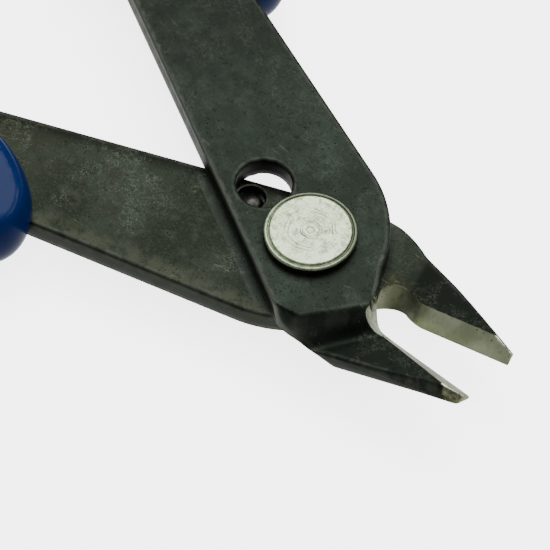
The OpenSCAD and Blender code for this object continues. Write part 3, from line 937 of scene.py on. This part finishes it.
def tube(name, path, lengths, radii, sides=32):
    """Round wire along a path of millimetre points, with its radius given at some lengths along it."""
    p = np.array(path, float)
    t = np.gradient(p, axis=0)
    t /= np.linalg.norm(t, axis=1)[:, None]
    side = np.cross(t[0], (0.3, 0.2, 1.0))
    run = np.concatenate([[0], np.cumsum(np.linalg.norm(np.diff(p, axis=0), axis=1))])
    r = np.interp(run, lengths, radii)
    verts, faces = [], []
    for k in range(len(p)):
        side = unit(side - t[k] * (side @ t[k]))
        over = np.cross(t[k], side)
        for j in range(sides):
            a = 2 * pi * j / sides
            verts.append((p[k] + (side * cos(a) + over * sin(a)) * r[k]) * MM)
    n = len(p)
    for k in range(n - 1):
        for j in range(sides):
            a, b = k * sides + j, k * sides + (j + 1) % sides
            faces.append((a, b, b + sides, a + sides))
    faces.append(tuple(range(sides))[::-1])
    faces.append(tuple(range((n - 1) * sides, n * sides)))
    return new_object(name, verts, faces)


# ---------------- grips

GRIP_H, GRIP_Z0 = 9.65, -1.6
# circles in the closed plan, as x, y, radius
OUTER, INNER = (-64.4, 149.6, 173.6), (-78.3, 149.4, 160.0)
NOSE, CHEEK, CORNER = (-31.64, -20.82, 13.41), (-38.0, -19.5, 14.6), (-33.83, -11.18, 14.15)
TAIL = (-92.5, -14.6, 12.5)
MIDDLE, MIDDLE_SAG = ((-42.0, -16.6), (-92.0, -14.9)), 0.48
# widths of the flattening rings along the plan's edge
SHELLS = [0.0, 0.02, 0.08, 0.18, 0.32, 0.5, 0.72, 0.98, 1.28, 1.6]


def circle_field(x, y, circle):
    return np.hypot(x - circle[0], y - circle[1]) - circle[2]


def grip_field(x, y):
    """Signed distance-like value of the grip's plan, negative inside, with its corners eased."""
    outer, inner, nose, cheek, corner, tail = (
        circle_field(x, y, c) for c in (OUTER, INNER, NOSE, CHEEK, CORNER, TAIL))
    none = -9.0
    ends = np.where(x > CHEEK[0], np.minimum(nose, cheek), np.where(x < TAIL[0], tail, none))
    corner = np.where(x > CORNER[0], corner, none)
    return smax(smax(outer, ends, 2.4), smax(corner, -inner, 2.4), 3.0)


def middle(t):
    """A point on the grip's middle line, from its nose to its tail."""
    (x0, y0), (x1, y1) = MIDDLE
    return x0 + (x1 - x0) * t, y0 + (y1 - y0) * t - MIDDLE_SAG * sin(pi * t)


def grip_loop(n=520):
    """The plan's outline, found by walking outwards along rays from points on its middle line."""
    q = n // 4
    rays = [(middle(0), -90 + 180 * k / q) for k in range(q + 1)]
    rays += [(middle(k / q), 90) for k in range(1, q)]
    rays += [(middle(1), 90 + 180 * k / q) for k in range(q + 1)]
    rays += [(middle(1 - k / q), -90) for k in range(1, q)]
    pts = []
    for (mx, my), deg in rays:
        c, s = heading(deg)
        lo, hi = 0.0, 40.0
        for _ in range(40):
            m = (lo + hi) / 2
            if grip_field(np.array(mx + c * m), np.array(my + s * m)) < 0:
                lo = m
            else:
                hi = m
        pts.append((mx + c * lo, my + s * lo))
    p = np.array(pts)
    # even spacing, then a light smoothing
    s = np.concatenate([[0], np.cumsum(np.linalg.norm(np.roll(p, -1, 0) - p, axis=1))])
    closed = np.concatenate([p, p[:1]])
    t = np.linspace(0, s[-1], n, endpoint=False)
    p = np.stack([np.interp(t, s, closed[:, 0]), np.interp(t, s, closed[:, 1])], 1)
    for _ in range(12):
        p = 0.5 * p + 0.25 * (np.roll(p, 1, 0) + np.roll(p, -1, 0))
    return p


def grip(name, upper, back, seed):
    """A dipped grip: an oval section all round, with the slow unevenness of a hand-dipped skin."""
    loop = [tuple(q) for q in grip_loop()]
    n, last = len(loop), len(SHELLS) - 1
    p = [offset_loop(loop, d) if d else np.array(loop) for d in SHELLS]
    # staggered points inside, and triangles between them and the last ring
    gx, gy = np.meshgrid(np.arange(-108, -18, 0.75), np.arange(-32, 0, 0.75))
    free = np.stack([(gx + 0.37 * (np.arange(len(gx)) % 2)[:, None]).ravel(), gy.ravel()], 1)
    free = free[inside(free, p[-1])]
    free = free[dist_to_loops(free, [loop]) > SHELLS[-1] + 0.35]
    core, tris, where, _ = triangulate(np.concatenate([p[-1], free]), [range(n)], 0)
    tris = tris[inside(core[tris].mean(1), p[-1])]
    plan = np.concatenate(p[:last] + [core])
    rings = [[k * n + j for j in range(n)] for k in range(last)] + [[last * n + where[j] for j in range(n)]]
    faces = []
    for a, b in zip(rings[:-1], rings[1:]):
        faces += [(a[j], a[(j + 1) % n], b[(j + 1) % n], b[j]) for j in range(n)]
    faces += [tuple(t) for t in (tris + last * n).tolist()]
    # height above the middle plane, eased so that no ridge runs where the sides meet
    h, depth, power = GRIP_H / 2, 6.9, 2.08
    d = dist_to_loops(plan, [loop])
    z = h * (1 - (1 - np.clip(d / depth, 0, 1)) ** power) ** (1 / power)
    z -= 0.25 * np.clip(1 - (d - 3.5) / 4.0, 0, 1) * np.clip(d / 3.5, 0, 1)
    waves = np.sin(plan[:, 0] * 0.23 + seed) * np.sin(plan[:, 1] * 0.33 + 2 * seed)
    z -= 0.12 * (waves + 1) / 2 * np.clip(d / 2, 0, 1)
    a, b = np.array(sorted({tuple(sorted((f[i], f[i - 1]))) for f in faces for i in range(len(f))})).T
    ease = np.clip((d - 1.0) / 1.5, 0, 1)
    count = np.maximum(np.bincount(np.concatenate([a, b]), minlength=len(z)), 1)
    for _ in range(60):
        z = z + ease * ((np.bincount(a, z[b], len(z)) + np.bincount(b, z[a], len(z))) / count - z)
    z *= 0.985 * h / z.max()
    # the lower side mirrors the upper one and shares its edge
    m = len(plan)
    low_id = np.concatenate([np.arange(n), np.arange(m, 2 * m - n)])
    v = np.concatenate([np.column_stack([plan, z]), np.column_stack([plan[n:], -z[n:]])])
    faces += [tuple(int(low_id[i]) for i in f[::-1]) for f in faces]
    return new_object(name, *to_row(v + (-back, 0, GRIP_Z0 + h), faces, upper))


# ---------------- spring path

WIRE_R, BUTTON_R, BUTTON_H = 0.55, 0.96, 0.5
SPRING_START, SPRING_HEADING = (-7.6, 0.48, T + BASE - 0.3), 339.9
COIL_R, COIL_ROLL = 2.05, -14.7
# straight runs in millimetres, bends as radius and degrees, rolls in degrees
STEPS = [("run", 1.8), ("bend", 0.8, 90), ("run", 4.5), ("bend", 2, 8), ("roll", 82)]
STEPS += [("bend", COIL_R, 90), ("roll", COIL_ROLL)] * 4
STEPS += [("bend", COIL_R, 20), ("roll", -82), ("bend", 2, -8.5), ("run", 3)]
STEPS += [("bend", 0.8, 90), ("run", 1.2)]


def spring_points(step=0.12):
    """Follows the straight runs, bends and rolls of the wire."""
    at = np.array(SPRING_START, float)
    m = Matrix.Rotation(radians(SPRING_HEADING), 3, "Z") @ Matrix.Rotation(pi, 3, "Y")
    pts = [at]
    for kind, size, *bend in STEPS:
        if kind == "run":
            n = max(2, int(size / step))
            pts += [at + np.array(m @ Vector((0, 0, size * k / n))) for k in range(1, n + 1)]
        elif kind == "roll":
            m = m @ Matrix.Rotation(radians(size), 3, "Z")
        else:
            angle, sign = radians(abs(bend[0])), 1 if bend[0] > 0 else -1
            n = max(3, int(size * angle / step))
            for k in range(1, n + 1):
                b = angle * k / n
                bent = Vector((sign * size * (1 - cos(b)), 0, size * sin(b)))
                pts.append(at + np.array(m @ bent))
            m = m @ Matrix.Rotation(sign * angle, 3, "Y")
        at = pts[-1]
    return pts


# ---------------- assembly


# holes as x, y, radius and how wide their rims are rounded
low = lever("lower_lever_body", False, [(0.0, 0.0, 2.5, 0.12), (*ANCHOR, 0.2)])
low.data.materials.append(lever_steel("lower_steel", False))
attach(low, "lower_half")
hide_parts("lower_lever")

up = lever("upper_lever_body", True, [(0.0, 0.0, 2.55, 0.12), (*WINDOW, 0.42)])
up.data.materials.append(lever_steel("upper_steel", True))
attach(up, "upper_half")
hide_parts("upper_lever")

rv = lathe("rivet_body", rivet_profile())
rv.data.materials.append(rivet_steel())
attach(rv, "lower_half")
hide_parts("rivet")

# the wire's upset end: a rounded button over a collar that fills its hole
dome = np.linspace(0, BUTTON_H, 9)
dome_r = BUTTON_R * np.sqrt(np.maximum(1e-3, 1 - (1 - dome / BUTTON_H) ** 2))
lengths = [*dome, 0.72, 0.80, 0.92, 1.5, 1.75, 1.85, 400]
radii = [*dome_r, 0.97, 1.0, 1.22, 1.22, 0.7, WIRE_R, WIRE_R]
sp = tube("spring_wire", spring_points(), lengths, radii)
sp.data.materials.append(spring_steel())
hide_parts("spring")
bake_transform(sp)

vinyl = grip_plastic()
for name, body, upper, back, seed in (("lower_grip_skin", "lower_half", False, 0.0, 1.3),
                                      ("upper_grip_skin", "upper_half", True, 1.83, 2.9)):
    o = grip(name, upper, back, seed)
    o.data.materials.append(vinyl)
    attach(o, body)
    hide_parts(name.replace("_skin", ""))

# ---------------- floor and light

FLOOR_Z, FLOOR_HALF, FLOOR_GLOW = -1.62 * MM, 6, 3.8
KEY_W, OVER_W, SIDE_W, STRIP_W, WORLD = 18.0, 5.0, 4.0, 1.6, 0.4
PAPER = (0.9, 0.9, 0.9)

floor = new_object("floor", [(sx * FLOOR_HALF, sy * FLOOR_HALF, FLOOR_Z)
                             for sx, sy in ((-1, -1), (1, -1), (1, 1), (-1, 1))], [(0, 1, 2, 3)])
paper = Nodes("floor_paper")
tone = paper.mix(paper.band(paper.noise(0.02, 2.0), 0.3, 0.7), PAPER, tuple(0.98 * v for v in PAPER))
floor.data.materials.append(paper.done(Base_Color=tone, Roughness=0.95, Specular_IOR_Level=0.0,
                                       Emission_Color=(1, 1, 1, 1), Emission_Strength=FLOOR_GLOW))
for flag in ("visible_diffuse", "visible_glossy", "visible_transmission"):
    setattr(floor, flag, False)


def softbox(name, loc, size, watts):
    """A rectangular light that faces the rivet."""
    d = bpy.data.lights.new(name, "AREA")
    d.shape = "RECTANGLE"
    d.size, d.size_y = size
    d.energy = watts
    o = bpy.data.objects.new(name, d)
    o.location = loc
    o.rotation_mode = "QUATERNION"
    o.rotation_quaternion = (-Vector(loc)).to_track_quat("-Z", "Y")
    scene.collection.objects.link(o)
    o.visible_camera = False


mirror, away = Vector((fwd.x, fwd.y, -fwd.z)), 1.3
softbox("key_light", mirror * away, (1.1, 0.9), KEY_W)
softbox("over_light", Vector((0.05, -0.05, away)), (0.8, 0.8), OVER_W)
softbox("side_light", right + Vector((0, 0, 0.7)) + mirror * 0.4, (0.6, 0.6), SIDE_W)
# a narrow light that shows as a soft streak on the grips
softbox("strip_light", Vector((0.12, 0.764, 0.634)) * away, (0.16, 0.34), STRIP_W)

# pale surroundings, brighter below, as the table sends a little light back up
world = bpy.data.worlds.new("world")
scene.world = world
world.use_nodes = True
nodes, links = world.node_tree.nodes, world.node_tree.links
background, sky = nodes["Background"], nodes.new("ShaderNodeTexCoord")
height, glow = nodes.new("ShaderNodeSeparateXYZ"), nodes.new("ShaderNodeMapRange")
background.inputs["Color"].default_value = (1, 1, 1, 1)
for key, value in (("From Min", 0.15), ("From Max", -0.4), ("To Min", WORLD), ("To Max", 3 * WORLD)):
    glow.inputs[key].default_value = value
links.new(sky.outputs["Generated"], height.inputs[0])
links.new(height.outputs["Z"], glow.inputs["Value"])
links.new(glow.outputs[0], background.inputs["Strength"])
